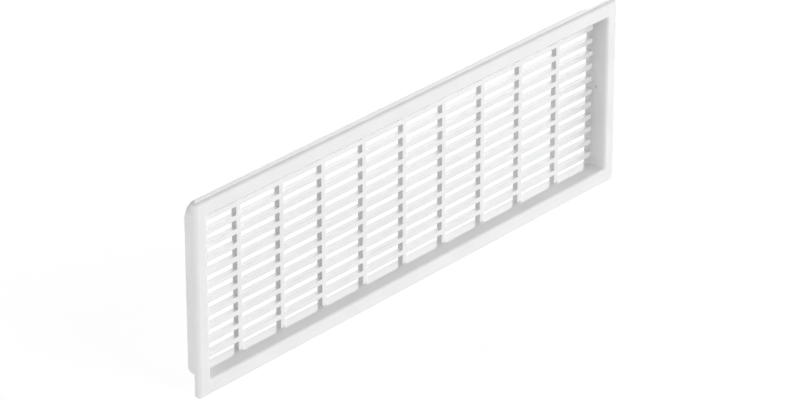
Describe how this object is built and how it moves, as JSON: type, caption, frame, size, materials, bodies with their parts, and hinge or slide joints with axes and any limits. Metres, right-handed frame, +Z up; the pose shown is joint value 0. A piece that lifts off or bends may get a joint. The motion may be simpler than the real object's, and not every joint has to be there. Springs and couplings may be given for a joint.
{
  "type": "ventilation grille",
  "caption": "Recessed rectangular ventilation grille: a flanged frame with a collar and a grid of upright ribs and level slats, moulded in one piece.",
  "frame": {"origin": "middle of the opening, in the plane of the panel that the flange lies on", "axes": "+X to the right, +Y into the panel, +Z up; the front faces -Y"},
  "size_m": [0.2294, 0.0093, 0.0742],
  "materials": {
    "white_plastic": "satin white injection moulding"
  },
  "bodies": {
    "root": {"ventilation_grille": "white_plastic"}
  },
  "joints": []
}
